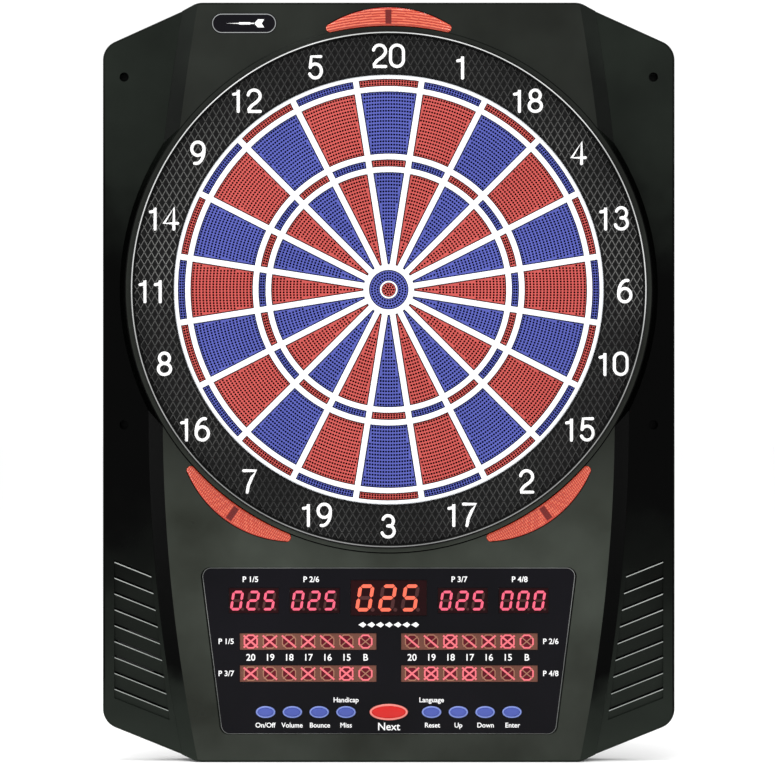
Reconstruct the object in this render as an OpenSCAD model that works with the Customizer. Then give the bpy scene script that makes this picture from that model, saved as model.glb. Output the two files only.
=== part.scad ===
// Electronic soft-tip dartboard: a wall-hung case with a twenty-sector plastic
// target, a number ring, three light lenses and a score panel with buttons.
// Millimetres. +X right, +Z up, the front faces -Y. The origin is on the rear
// wall face, on the axis of the bull's-eye. Depths below are measured forward
// from the wall plane, so a point at depth d has y = -d.

/* [Case] */
// Half of the width over the wings
case_half_w = 228; // [200:0.5:260]
// Half of the width of the straight top and bottom edges
case_edge_half_w = 151.5; // [120:0.5:180]
// Height of the top edge above the bull's axis
case_top = 228.3; // [200:0.1:260]
// Height of the upper side corners
case_top_corner = 193.7; // [150:0.1:220]
// Drop of the lower side corners below the axis
case_bottom_corner = 345; // [300:0.5:380]
// Drop of the bottom edge below the axis
case_bottom = 375.7; // [330:0.1:420]
// Radius of the side corners
side_corner_r = 16; // [4:0.5:24]
// Depth of the wing faces
wing_depth = 22; // [18:0.5:28]
// Depth of the raised centre panel
panel_depth = 30; // [26:0.5:36]
// Skin thickness
wall = 2.5; // [2:0.1:4]
// Run of the slope beside the centre panel
slope_run = 12; // [6:0.5:16]
// Half-width of the centre panel at its widest
panel_half_w = 180.5; // [160:0.5:200]

/* [Target] */
// Outer radius of the white rim
rim_r = 171; // [160:0.5:180]
// Inner radius of the rim
rim_inner_r = 167.7; // [155:0.1:178]
// Outer radius of the rib below the double ring
double_rib_r = 161.9; // [150:0.1:165]
// Inner radius of the rib below the double ring
double_rib_inner_r = 157.7; // [150:0.1:165]
// Outer radius of the rib above the triple ring
triple_top_r = 108.1; // [100:0.1:115]
// Inner radius of the rib above the triple ring
triple_top_inner_r = 103.6; // [98:0.1:112]
// Outer radius of the rib below the triple ring
triple_low_r = 97.9; // [90:0.1:100]
// Inner radius of the rib below the triple ring
triple_low_inner_r = 93.5; // [85:0.1:98]
// Outer radius of the bull ring
bull_ring_r = 20.1; // [16:0.1:24]
// Inner radius of the bull ring
bull_ring_inner_r = 15.7; // [12:0.1:20]
// Width of a spoke
spoke_w = 4.6; // [3:0.1:6]
// Radius of the inner bull
inner_bull_r = 5.4; // [5:0.1:6]
// Depth of the web's front
web_front = 29.5; // [28:0.1:32]
// Depth of the back of the ribs
web_back = 20.1; // [18:0.1:22]
// Depth of the segments' front faces
seg_front = 28.4; // [27:0.1:29]
// Depth of the segments' rear faces at rest
seg_back = 18.6; // [17:0.1:20]
// Clearance between a segment and the ribs
seg_gap = 0.3; // [0.2:0.05:0.6]
// Width of the lip that holds a segment behind the ribs
seg_lip = 1.1; // [0.6:0.1:1.4]

/* [Number ring] */
// Outer radius of the number ring
ring_r = 205.5; // [195:0.1:210]
// Inner radius of the number ring
ring_inner_r = 171.3; // [168:0.1:180]
// Depth of the rim of the number ring
ring_top = 34; // [30:0.5:38]

/* [Lenses] */
// Radius of a lens's inner arc
lens_inner_r = 209.4; // [206:0.1:215]
// Distance of a lens's apex from the axis
lens_apex_r = 224.7; // [215:0.1:226]
// Radius of a lens's outer arc
lens_arc_r = 91; // [70:1:120]
// Radius of a lens's ends
lens_end_r = 3.6; // [1:0.1:5]

/* [Score panel] */
// Top of the score panel below the axis
score_top = 221; // [215:0.5:240]
// Bottom of the score panel below the axis
score_bottom = 353.3; // [330:0.1:365]
// Half-width at the top
score_top_half_w = 150; // [120:0.5:160]
// Half-width at the bottom
score_bottom_half_w = 133.5; // [100:0.5:150]
// Width of a small score display
small_w = 39.4; // [30:0.1:45]
// Height of a small score display
small_h = 19.8; // [15:0.1:25]
// Width of the main score display
main_w = 60.5; // [50:0.1:70]
// Height of the main score display
main_h = 28; // [20:0.1:35]
// Width of a cricket display
strip_w = 108.4; // [90:0.1:115]
// Height of a cricket display
strip_h = 13; // [10:0.1:16]

/* [Buttons] */
// Width of a function button
button_w = 15.2; // [12:0.1:18]
// Height of a function button
button_h = 9.3; // [7:0.1:12]
// Width of the next button
next_w = 30.2; // [24:0.1:34]
// Height of the next button
next_h = 12.9; // [10:0.1:15]
// Drop of the button row below the axis
button_row = 335.8; // [330:0.1:345]
// Spacing of the function buttons
button_pitch = 21.3; // [19:0.1:24]
// Offset of the innermost function buttons
button_first = 34; // [28:0.1:40]

/* [Fixings] */
// Half of the spacing of the wall screws across
wall_screw_x = 211; // [190:0.5:220]
// Height of the upper wall screws
wall_screw_top = 169.7; // [140:0.1:190]
// Drop of the lower wall screws
wall_screw_low = 107.6; // [80:0.1:140]
// Radius of the wall-screw holes in the rear
wall_screw_r = 3; // [2:0.1:4]
// Radius of the wall-screw pockets in the wing faces
wall_pocket_r = 3.7; // [3:0.1:5]

/* [Hidden] */
// Every named sub-part, in drawing order
// Which sub-part to draw
// Smoothness of large circles
$fn = 120;

// Colours
black_gloss = [0.02, 0.025, 0.022];
black_satin = [0.05, 0.055, 0.05];
off_white = [0.86, 0.88, 0.88];
seg_blue = [0.03, 0.16, 0.45];
seg_red = [0.62, 0.05, 0.08];
lens_coral = [0.85, 0.25, 0.15];
board_green = [0.05, 0.25, 0.12];
rubber_grey = [0.18, 0.18, 0.18];
steel = [0.6, 0.6, 0.62];
display_black = [0.06, 0.05, 0.05];

// Middle radius of the small ring around the inner bull, and its bridges' angles
small_ring_r = inner_bull_r + 1;
bridge_angles = [30, 150, 270];
// Angles of the lens centres
lens_angles = [90, 235, 305];
// Rear-cover screws, right half
cover_screws = [[95, 212], [170, 197], [216, 60], [216, -50], [208, -196], [160, -354], [70, -364]];
// Angles of the screws that clamp the target, and of the ring's pegs
clamp_angles = [22.5, 67.5, 112.5, 157.5, 202.5, 247.5, 292.5, 337.5];
peg_angles = [0, 45, 90, 135, 180, 225, 270, 315];
clamp_r = 190;
// Screws of the main board
board_posts = [[149.5, -229], [138.5, -347]];
// Louvre block on the right wing: outer edge, pitch, slope of the blades
louvre_x = 218.8;
louvre_pitch = 12.65;
louvre_slope = 0.40;

// ---- helpers ----

// Draws a flat (x, z) shape from depth a to depth b.
module slab(a, b) {
  rotate([90, 0, 0]) translate([0, 0, a]) linear_extrude(height = b - a) children();
}

// A rod along the depth axis.
module rod(x, z, r, a, b) {
  translate([x, 0, z]) rotate([90, 0, 0]) translate([0, 0, a]) cylinder(r = r, h = b - a, $fn = 48);
}

// A round disc or tube about the bull's axis.
module tube(r1, r0, a, b) {
  rotate([90, 0, 0]) translate([0, 0, a]) difference() {
    cylinder(r = r1, h = b - a);
    if (r0 > 0) translate([0, 0, -1]) cylinder(r = r0, h = b - a + 2);
  }
}

// Both sides of the case.
module both() {
  children();
  mirror([1, 0, 0]) children();
}

// Case outline with rounded side corners.
module outline() {
  intersection() {
    offset(r = side_corner_r, $fn = 96) offset(delta = -side_corner_r)
      polygon([[-case_half_w, case_top_corner], [-case_half_w, -case_bottom_corner],
               [-case_edge_half_w, -case_bottom], [case_edge_half_w, -case_bottom],
               [case_half_w, -case_bottom_corner], [case_half_w, case_top_corner],
               [case_edge_half_w, case_top], [-case_edge_half_w, case_top]]);
    polygon([[-300, -case_bottom], [300, -case_bottom], [300, case_top], [-300, case_top]]);
  }
}

// Half-width of the centre panel at height z.
function panel_w(z) = panel_half_w - (z > -100 ? 0.00026 : 0.000368) * (z + 100) * (z + 100);

// Centre panel, widened by grow.
module panel_shape(grow) {
  zs = [for (i = [0:40]) -case_bottom - 6 + i * (case_top + case_bottom + 12) / 40];
  polygon(concat([for (z = zs) [panel_w(z) + grow, z]],
                 [for (i = [40:-1:0]) [-panel_w(zs[i]) - grow, zs[i]]]));
}

// Raised centre block between depths, with sloped sides.
module panel_block(inset, top) {
  hull() {
    slab(wing_depth - 4, wing_depth - 3.9) panel_shape(slope_run - inset);
    slab(wing_depth + 0.4, wing_depth + 0.5) panel_shape(slope_run - 1 - inset);
    slab(top - 1.3, top - 1.2) panel_shape(0.6 - inset);
    slab(top - 0.1, top) panel_shape(-0.9 - inset);
  }
}

// Outline block with a rounded front edge.
module case_block(top) {
  hull() {
    slab(0, top - 1.8) outline();
    slab(top - 0.6, top - 0.5) offset(delta = -0.6) outline();
    slab(top - 0.1, top) offset(delta = -1.8) outline();
  }
}

// Crescent of a lens, grown by g, about the bull's axis at angle a.
module lens_shape(a, g = 0) {
  rotate(a) offset(r = lens_end_r + g, $fn = 48) offset(delta = -lens_end_r)
    difference() {
      translate([lens_apex_r - lens_arc_r, 0]) circle(r = lens_arc_r, $fn = 180);
      circle(r = lens_inner_r, $fn = 360);
    }
}

// Score panel outline, grown by g.
module score_shape(g = 0) {
  offset(r = 7 + g, $fn = 48) offset(delta = -7)
    polygon([[-score_top_half_w, -score_top], [-score_bottom_half_w, -score_bottom],
             [score_bottom_half_w, -score_bottom], [score_top_half_w, -score_top]]);
}

// Ellipse of a button, grown by g.
module oval(w, h, g = 0) {
  polygon([for (i = [0:59]) [(w / 2 + g) * cos(6 * i), (h / 2 + g) * sin(6 * i)]]);
}

// Rectangle centred on a point.
module plate_at(x, z, w, h) {
  translate([x - w / 2, z - h / 2]) square([w, h]);
}

// Sector wedge pointing along +x whose sides stand off by h from the spokes' centres.
module wedge(h) {
  polygon([[h / sin(9), 0], [180, (180 - h / sin(9)) * tan(9)],
           [180, -(180 - h / sin(9)) * tan(9)]]);
}

// One cell of a sector between two radii.
module cell(r1, r0, h) {
  intersection() {
    wedge(h);
    difference() {
      circle(r = r1);
      circle(r = r0);
    }
  }
}

// One segment block with its lip.
module segment(r1, r0) {
  h = spoke_w / 2 + seg_gap;
  slab(seg_back, seg_front) cell(r1 - seg_gap, r0 + seg_gap, h);
  slab(seg_back, seg_back + 1.2) cell(r1 - seg_gap + seg_lip, r0 + seg_gap - seg_lip, h - seg_lip);
}

// The four segments of sector k, counted clockwise from the top.
module sector(k) {
  big = k % 2 == 0 ? seg_blue : seg_red;
  small = k % 2 == 0 ? seg_red : seg_blue;
  rotate([0, -(90 - 18 * k), 0]) {
    color(small) segment(rim_inner_r, double_rib_r);
    color(big) segment(double_rib_inner_r, triple_top_r);
    color(small) segment(triple_top_inner_r, triple_low_r);
    color(big) segment(triple_low_inner_r, bull_ring_r);
  }
}

// Louvre block outline on the right wing.
module louvre_shape(g = 0) {
  offset(delta = g) polygon([[louvre_x, -208.6], [louvre_x, -325.5], [174.7, -343],
                             [189.8, -225], [193, -214]]);
}

// Sloping blades and the slots between them, to be cut from the skin.
module louvre_cuts() {
  step = louvre_pitch * cos(atan(louvre_slope));
  intersection() {
    slab(0, 40) louvre_shape(0);
    translate([louvre_x, 0, -215.8]) rotate([0, -atan(louvre_slope), 0])
      for (i = [0:9]) {
        // sloping face of a blade: proud at its top, deep at its foot
        rotate([0, -90, 0]) translate([-step * (i + 1), 0, -8]) linear_extrude(height = 110)
          polygon([[0.0, -wing_depth + 2.2], [step - 1.6, -wing_depth + 0.5],
                   [step - 0.9, -wing_depth + 0.2], [step - 0.9, -wing_depth - 3],
                   [0.0, -wing_depth - 3]]);
        // slot below the blade above
        rotate([0, -90, 0]) translate([-step * (i + 1), 0, -8])
          linear_extrude(height = 110)
            polygon([[step - 0.9, -wing_depth - 3], [step + 0.5, -wing_depth - 3],
                     [step + 0.5, 0], [step - 0.9, 0]]);
      }
  }
}

// ---- case ----

module front_housing() color(black_satin) difference() {
  union() {
    difference() {
      union() {
        case_block(wing_depth);
        intersection() {
          panel_block(0, panel_depth);
          case_block(panel_depth);
        }
        // sloping collar around the number ring
        rotate([90, 0, 0]) rotate_extrude($fn = 240)
          polygon([[170, wing_depth - 3], [214.5, wing_depth - 3], [214.5, wing_depth],
                   [209.8, panel_depth + 0.2], [208.9, panel_depth + 1], [170, panel_depth + 1]]);
      }
      // hollow from behind
      slab(-1, wing_depth - wall) offset(delta = -wall) outline();
      intersection() {
        panel_block(wall + 0.3, panel_depth - wall);
        slab(-1, 40) offset(delta = -wall) outline();
      }
    }
    // seat of the number ring
    tube(208.2, 171.9, 24, panel_depth - 1);
    intersection() {
      union() {
        // rear-cover posts
        both() for (p = cover_screws) rod(p[0], p[1], 4, 3, panel_depth - 1);
        // wall-screw bosses
        both() rod(wall_screw_x, wall_screw_top, 6.2, 3, wing_depth - 1);
        both() rod(wall_screw_x, -wall_screw_low, 6.2, 3, wing_depth - 1);
      }
      union() {
        case_block(wing_depth - 0.6);
        intersection() {
          panel_block(0.6, panel_depth - 0.6);
          slab(0, 40) offset(delta = -0.5) outline();
        }
      }
    }
    // posts of the clamping screws
    for (a = clamp_angles) rod(clamp_r * cos(a), clamp_r * sin(a), 4.5, 15.1, 25);
    // heat-staked posts of the light boards
    for (a = lens_angles) for (s = [-17.2, 17.2]) {
      rod(214.6 * cos(a + s), 214.6 * sin(a + s), 2.3, 21.6, panel_depth - 1);
      rod(214.6 * cos(a + s), 214.6 * sin(a + s), 1, 19.2, 22);
    }
    // shelf under the score panel
    slab(25.2, panel_depth - 2) score_shape(2.5);
    // main-board posts
    both() for (p = board_posts) rod(p[0], p[1], 3.2, 18.6, 26);
    // thicker skin behind the louvres
    both() slab(wing_depth - 4, wing_depth - 1) louvre_shape(1);
    // loudspeaker cup
    translate([-198.5, 0, -288]) tube(20.9, 19.6, 10, wing_depth - 3);
  }
  // target opening and ring seat
  tube(171.9, 0, -1, 40);
  tube(205.8, 0, 27, 40);
  for (a = peg_angles) rod(clamp_r * cos(a), clamp_r * sin(a), 2.1, 20, 28);
  for (a = clamp_angles) rod(clamp_r * cos(a), clamp_r * sin(a), 1.5, 15, 23);
  // lens windows
  for (a = lens_angles) slab(22, 40) lens_shape(a, 0.3);
  // score panel pocket and window
  slab(27.7, 40) score_shape(0.25);
  slab(20, 40) score_shape(-4);
  // screw holes
  both() for (p = cover_screws) rod(p[0], p[1], 1.5, 2, 15);
  both() for (p = board_posts) rod(p[0], p[1], 1.5, 18, 24.5);
  // wall-screw holes: each is shut by a web that is drilled out to hang the board
  both() for (z = [wall_screw_top, -wall_screw_low]) {
    rod(wall_screw_x, z, wall_screw_r, -1, 7.5);
    rod(wall_screw_x, z, wall_pocket_r, 9, 40);
  }
  // louvres
  both() louvre_cuts();
  // badge seat
  slab(panel_depth - 0.4, 40) badge_shape(0.15);
  // power inlet
  translate([0, -10, -300]) rotate([0, 90, 0]) translate([0, 0, 215]) cylinder(r = 4.35, h = 20, $fn = 48);
}

// Shallow pockets that leave stiffening ribs on the rear cover.
module cover_pockets() {
  for (k = [0:7], r = [[112, 72], [168, 120]]) rotate([0, -45 * k, 0])
    slab(-1, 0.8) intersection() {
      difference() {
        circle(r = r[0]);
        circle(r = r[1]);
      }
      translate([10, 0]) polygon([[0, 0], [200, 200 * tan(22.5)], [200, -200 * tan(22.5)]]);
    }
  // label space
  slab(-1, 0.5) plate_at(0, -262, 104, 44);
}

// Vent slots behind the loudspeaker and the main board.
module cover_vents() {
  for (i = [-2:2]) slab(-1, 4) plate_at(-198.5, -288 + 4.2 * i, 18, 2);
  for (s = [-1, 1], i = [-3:3]) slab(-1, 4) plate_at(s * 100, -320 + 4.6 * i, 44, 2.2);
}

module rear_cover() color(black_satin) difference() {
  slab(0, 3) offset(delta = -wall - 0.3) outline();
  cover_pockets();
  cover_vents();
  both() for (p = cover_screws) {
    rod(p[0], p[1], 1.7, -1, 4);
    rod(p[0], p[1], 3.4, -1, 1.8);
  }
  both() for (z = [wall_screw_top, -wall_screw_low]) rod(wall_screw_x, z, wall_screw_r, -1, 4);
}

module badge_shape(g = 0) {
  translate([-115, 211.6]) offset(r = g) hull() for (s = [-1, 1])
    translate([s * 17.7, 0]) circle(r = 8.1, $fn = 48);
}

module badge() color(steel) slab(panel_depth - 0.4, panel_depth + 0.5) badge_shape();

// ---- target ----

module number_ring() color(black_gloss) {
  rotate([90, 0, 0]) rotate_extrude($fn = 240)
    polygon([[ring_inner_r, 27], [ring_inner_r, 29.6], [172.2, 30.2], [202.2, 30.9],
             [203.1, ring_top - 0.5], [203.6, ring_top], [204.8, ring_top],
             [ring_r, ring_top - 0.8], [ring_r, 27]]);
  for (a = peg_angles) rod(clamp_r * cos(a), clamp_r * sin(a), 1.95, 22.4, 27.5);
}

// Flat shape of the ribs, rings and spokes.
module web_shape() {
  for (r = [[rim_r, rim_inner_r], [double_rib_r, double_rib_inner_r],
            [triple_top_r, triple_top_inner_r], [triple_low_r, triple_low_inner_r],
            [bull_ring_r, bull_ring_inner_r]])
    difference() {
      circle(r = r[0]);
      circle(r = r[1]);
    }
  mid_bull = (bull_ring_r + bull_ring_inner_r) / 2;
  mid_rim = (rim_r + rim_inner_r) / 2;
  for (k = [0:19]) rotate(9 + 18 * k)
    translate([mid_bull, -spoke_w / 2]) square([mid_rim - mid_bull, spoke_w]);
}

module segment_web() color(off_white) difference() {
  union() {
    slab(web_back, web_front) web_shape();
    // flange clamped behind the ring seat
    tube(180, rim_r - 0.6, 15.1, 23.9);
    // small ring around the inner bull, on three bridges
    tube(small_ring_r + 0.65, small_ring_r - 0.65, web_back, web_front - 0.2);
    for (a = bridge_angles) rotate([0, -a, 0])
      slab(web_back + 0.3, web_back + 1.8)
        translate([small_ring_r, -0.9]) square([bull_ring_inner_r + 1 - small_ring_r, 1.8]);
  }
  // way out for the membrane's tail
  slab(15, 16) plate_at(0, -175, 25, 20);
}

module bull_outer() color(seg_blue) difference() {
  union() {
    tube(bull_ring_inner_r - seg_gap, small_ring_r + 1, seg_back, seg_front);
    tube(bull_ring_inner_r - seg_gap + seg_lip, small_ring_r + 1, seg_back, seg_back + 1.2);
  }
  for (a = bridge_angles) rotate([0, -a, 0])
    slab(seg_back + 1.2, web_back + 3.5) translate([5, -1.3]) square([15, 2.6]);
}

module bull_inner() color(seg_red) {
  tube(inner_bull_r, 0, seg_back, seg_front);
  tube(inner_bull_r + 0.9, 0, seg_back, seg_back + 1.2);
}

module sector_20() sector(0);
module sector_01() sector(1);
module sector_18() sector(2);
module sector_04() sector(3);
module sector_13() sector(4);
module sector_06() sector(5);
module sector_10() sector(6);
module sector_15() sector(7);
module sector_02() sector(8);
module sector_17() sector(9);
module sector_03() sector(10);
module sector_19() sector(11);
module sector_07() sector(12);
module sector_16() sector(13);
module sector_08() sector(14);
module sector_11() sector(15);
module sector_14() sector(16);
module sector_09() sector(17);
module sector_12() sector(18);
module sector_05() sector(19);

module rubber_sheet() color(rubber_grey) tube(170, 0, 15.5, 17);

module sensor_membrane() color([0.75, 0.72, 0.6]) {
  tube(170, 0, 15.1, 15.5);
  slab(15.1, 15.5) plate_at(0, -201.5, 22, 75);
}

module backing_board() color([0.35, 0.3, 0.22]) difference() {
  tube(197, 0, 12.1, 15.1);
  for (a = clamp_angles) rod(clamp_r * cos(a), clamp_r * sin(a), 1.7, 12, 16);
}

// ---- lights ----

module lens(a) {
  slab(24.2, panel_depth + 0.6) lens_shape(a);
  slab(24.2, panel_depth - wall - 0.1) lens_shape(a, 0.9);
}

module lens_top() color(lens_coral) lens(90);
module lens_left() color(lens_coral) lens(235);
module lens_right() color(lens_coral) lens(305);

module light_boards() color(board_green) for (a = lens_angles) rotate([0, -a, 0]) {
  difference() {
    slab(20, 21.6) intersection() {
      difference() {
        circle(r = 219.2);
        circle(r = 210);
      }
      polygon([[0, 0], [260, 260 * tan(19)], [260, -260 * tan(19)]]);
    }
    for (s = [-17.2, 17.2]) rod(214.6 * cos(s), 214.6 * sin(s), 1.1, 19, 23);
  }
  for (s = [-9, 0, 9]) rod(214.6 * cos(s), 214.6 * sin(s), 2.5, 21.6, 23.8);
}

// ---- score panel ----

// Places of the displays
small_x = [-107.3, -58.9, 58.9, 107.3];
small_z = -247.2;
main_z = -245.1;
strip_x = 64.1;
strip_z = [-279.8, -305.3];

module score_panel() color(black_gloss) difference() {
  slab(27.7, 29.7) score_shape();
  slab(27, 31) plate_at(0, main_z, main_w + 0.5, main_h + 0.5);
  for (x = small_x) slab(27, 31) plate_at(x, small_z, small_w + 0.5, small_h + 0.5);
  for (x = [-strip_x, strip_x], z = strip_z)
    slab(27, 31) plate_at(x, z, strip_w + 0.5, strip_h + 0.5);
  slab(27, 31) translate([0, -button_row]) oval(next_w, next_h, 0.35);
  for (s = [-1, 1], i = [0:3])
    slab(27, 31) translate([s * (button_first + button_pitch * i), -button_row])
      oval(button_w, button_h, 0.35);
}

module display(x, z, w, h) color(display_black) slab(18.6, 29.2) plate_at(x, z, w, h);

module display_main() display(0, main_z, main_w, main_h);
module display_p1() display(small_x[0], small_z, small_w, small_h);
module display_p2() display(small_x[1], small_z, small_w, small_h);
module display_p3() display(small_x[2], small_z, small_w, small_h);
module display_p4() display(small_x[3], small_z, small_w, small_h);
module cricket_p1() display(-strip_x, strip_z[0], strip_w, strip_h);
module cricket_p2() display(-strip_x, strip_z[1], strip_w, strip_h);
module cricket_p3() display(strip_x, strip_z[0], strip_w, strip_h);
module cricket_p4() display(strip_x, strip_z[1], strip_w, strip_h);

module main_board() color(board_green) {
  difference() {
    slab(17, 18.6) polygon([[-154, -223], [-143.5, -352], [143.5, -352], [154, -223]]);
    both() for (p = board_posts) rod(p[0], p[1], 1.7, 16, 19);
  }
  // connector of the membrane's tail
  slab(15.6, 17) plate_at(0, -235, 26, 7);
  // controller under its seal
  slab(14.8, 17) plate_at(40, -290, 22, 22);
}

module button_mat() color(rubber_grey) {
  slab(18.6, 20.2) plate_at(0, -button_row, 220, 15);
  rod(0, -button_row, 4.5, 20, 22.4);
  for (s = [-1, 1], i = [0:3])
    rod(s * (button_first + button_pitch * i), -button_row, 3.2, 20, 22.4);
}

// Button cap with the flange that holds it behind the score panel.
module cap(x, w, h, top) {
  translate([x, 0, -button_row]) {
    slab(24.1, top - 0.7) oval(w, h);
    slab(top - 0.7, top) oval(w - 1.4, h - 1.4);
    slab(25.8, 27.4) oval(w, h, 1.1);
  }
}

module button_next() color(seg_red) cap(0, next_w, next_h, 31.4);
module button_on_off() color(seg_blue) cap(-button_first - 3 * button_pitch, button_w, button_h, 31.2);
module button_volume() color(seg_blue) cap(-button_first - 2 * button_pitch, button_w, button_h, 31.2);
module button_bounce() color(seg_blue) cap(-button_first - button_pitch, button_w, button_h, 31.2);
module button_miss() color(seg_blue) cap(-button_first, button_w, button_h, 31.2);
module button_reset() color(seg_blue) cap(button_first, button_w, button_h, 31.2);
module button_up() color(seg_blue) cap(button_first + button_pitch, button_w, button_h, 31.2);
module button_down() color(seg_blue) cap(button_first + 2 * button_pitch, button_w, button_h, 31.2);
module button_enter() color(seg_blue) cap(button_first + 3 * button_pitch, button_w, button_h, 31.2);

// ---- inner parts ----

module loudspeaker() color(rubber_grey) translate([-198.5, 0, -288]) {
  tube(19.4, 0, 14.5, 17.8);
  tube(15, 0, 10.4, 14.5);
  tube(11, 0, 5.5, 10.4);
}

module dc_jack() color(black_gloss) translate([0, -10, -300]) {
  difference() {
    union() {
      translate([213, -5, -5.5]) cube([12.4, 10, 11]);
      rotate([0, 90, 0]) translate([0, 0, 225]) cylinder(r = 4.2, h = 2.8, $fn = 48);
    }
    rotate([0, 90, 0]) translate([0, 0, 216.5]) cylinder(r = 2.85, h = 20, $fn = 48);
  }
  rotate([0, 90, 0]) translate([0, 0, 216]) cylinder(r = 1.05, h = 11, $fn = 48);
}

// Pan-head screw driven forward from depth a.
module screw(x, z, a, reach) {
  rod(x, z, 3, a, a + 1.6);
  rod(x, z, 1.45, a + 1.6, reach);
}

module housing_screws() color(steel) both() for (p = cover_screws) screw(p[0], p[1], 0.2, 14);

module inner_screws() color(steel) {
  for (a = clamp_angles) screw(clamp_r * cos(a), clamp_r * sin(a), 10.5, 22);
  both() for (p = board_posts) screw(p[0], p[1], 15.4, 24);
}

// ---- drawing ----

front_housing();
rear_cover();
number_ring();
segment_web();
backing_board();
rubber_sheet();
sensor_membrane();
lens_top();
lens_left();
lens_right();
light_boards();
score_panel();
main_board();
button_mat();
display_main();
display_p1();
display_p2();
display_p3();
display_p4();
cricket_p1();
cricket_p2();
cricket_p3();
cricket_p4();
button_next();
button_on_off();
button_volume();
button_bounce();
button_miss();
button_reset();
button_up();
button_down();
button_enter();
loudspeaker();
dc_jack();
badge();
housing_screws();
inner_screws();
bull_outer();
bull_inner();
sector_20();
sector_01();
sector_18();
sector_04();
sector_13();
sector_06();
sector_10();
sector_15();
sector_02();
sector_17();
sector_03();
sector_19();
sector_07();
sector_16();
sector_08();
sector_11();
sector_14();
sector_09();
sector_12();
sector_05();
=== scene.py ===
"""Looks of the electronic dartboard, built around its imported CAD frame.

Shapes are written in millimetres as (x, z, d): x to the right, z up and d forward
from the wall plane. Shape.piece() turns them into metres in the frame's own axes.
"""

import math

import bmesh
import bpy
from mathutils import Matrix, Vector
from mathutils.geometry import delaunay_2d_cdt


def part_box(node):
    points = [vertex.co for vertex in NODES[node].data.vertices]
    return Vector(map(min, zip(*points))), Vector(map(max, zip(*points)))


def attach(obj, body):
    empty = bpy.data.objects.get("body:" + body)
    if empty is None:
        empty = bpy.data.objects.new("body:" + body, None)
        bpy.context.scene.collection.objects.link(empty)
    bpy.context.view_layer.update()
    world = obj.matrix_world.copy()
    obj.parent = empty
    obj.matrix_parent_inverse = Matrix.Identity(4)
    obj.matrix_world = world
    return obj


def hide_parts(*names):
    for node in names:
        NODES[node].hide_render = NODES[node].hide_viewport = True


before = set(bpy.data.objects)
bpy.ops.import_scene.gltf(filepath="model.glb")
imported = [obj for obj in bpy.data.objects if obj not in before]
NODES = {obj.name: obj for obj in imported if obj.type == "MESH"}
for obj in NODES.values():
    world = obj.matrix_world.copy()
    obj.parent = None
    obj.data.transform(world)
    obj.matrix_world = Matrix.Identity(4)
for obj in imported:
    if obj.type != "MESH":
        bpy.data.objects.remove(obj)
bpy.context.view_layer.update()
MM = 0.001

# ---- driving sizes, in millimetres ----


def front_of(node):
    """Depth of a CAD node's foremost point."""
    return -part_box(node)[0].y / MM


def back_of(node):
    """Depth of a CAD node's rearmost point."""
    return -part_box(node)[1].y / MM


SECTORS = [20, 1, 18, 4, 13, 6, 10, 15, 2, 17, 3, 19, 7, 16, 8, 11, 14, 9, 12, 5]
HALF_SECTOR = math.radians(9)
RIM = (171.0, 167.7)
CELLS = [(167.7, 161.9), (157.7, 108.1), (103.6, 97.9), (93.5, 20.1)]
BULL_RING = (20.1, 15.7)
SMALL_RING = (7.05, 5.75)
SPOKE = 4.6
WEB_FRONT = front_of("segment_web")
WEB_BACK = 20.1
SEG_FRONT = front_of("bull_outer")
SEG_BACK = back_of("bull_outer")
SEG_GAP = 0.3
SEG_LIP = 1.1
SEG_LIP_H = 1.2
SEG_EDGE = 0.6
HOLE_PITCH = 2.15
ROW_PITCH = 2.7
HOLE_R = 0.82
HOLE_FLARE = 0.1
HOLE_MARGIN = 0.18
BULL_R_GAP = 0.35
ROUND = 360
RING_FACE = (172.4, 202.0)
RING_FLOOR = 30.2
NUMBER_R = 187.0
NUMBER_H = 19.6
NUDGE = {12: -4.0, 16: -3.8, 14: -2.2, 11: -2.0, 6: 0.6, 13: 0.2}
PANEL_FACE = front_of("score_panel")
DISPLAY_FACE = front_of("display_main")
MARK_PITCH = 15.2
MARK_TOP = DISPLAY_FACE + 0.12
MARK_FOOT = DISPLAY_FACE - 0.1
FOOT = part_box("front_housing")[0].z / MM
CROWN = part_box("front_housing")[1].z / MM


# ---- materials ----


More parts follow.
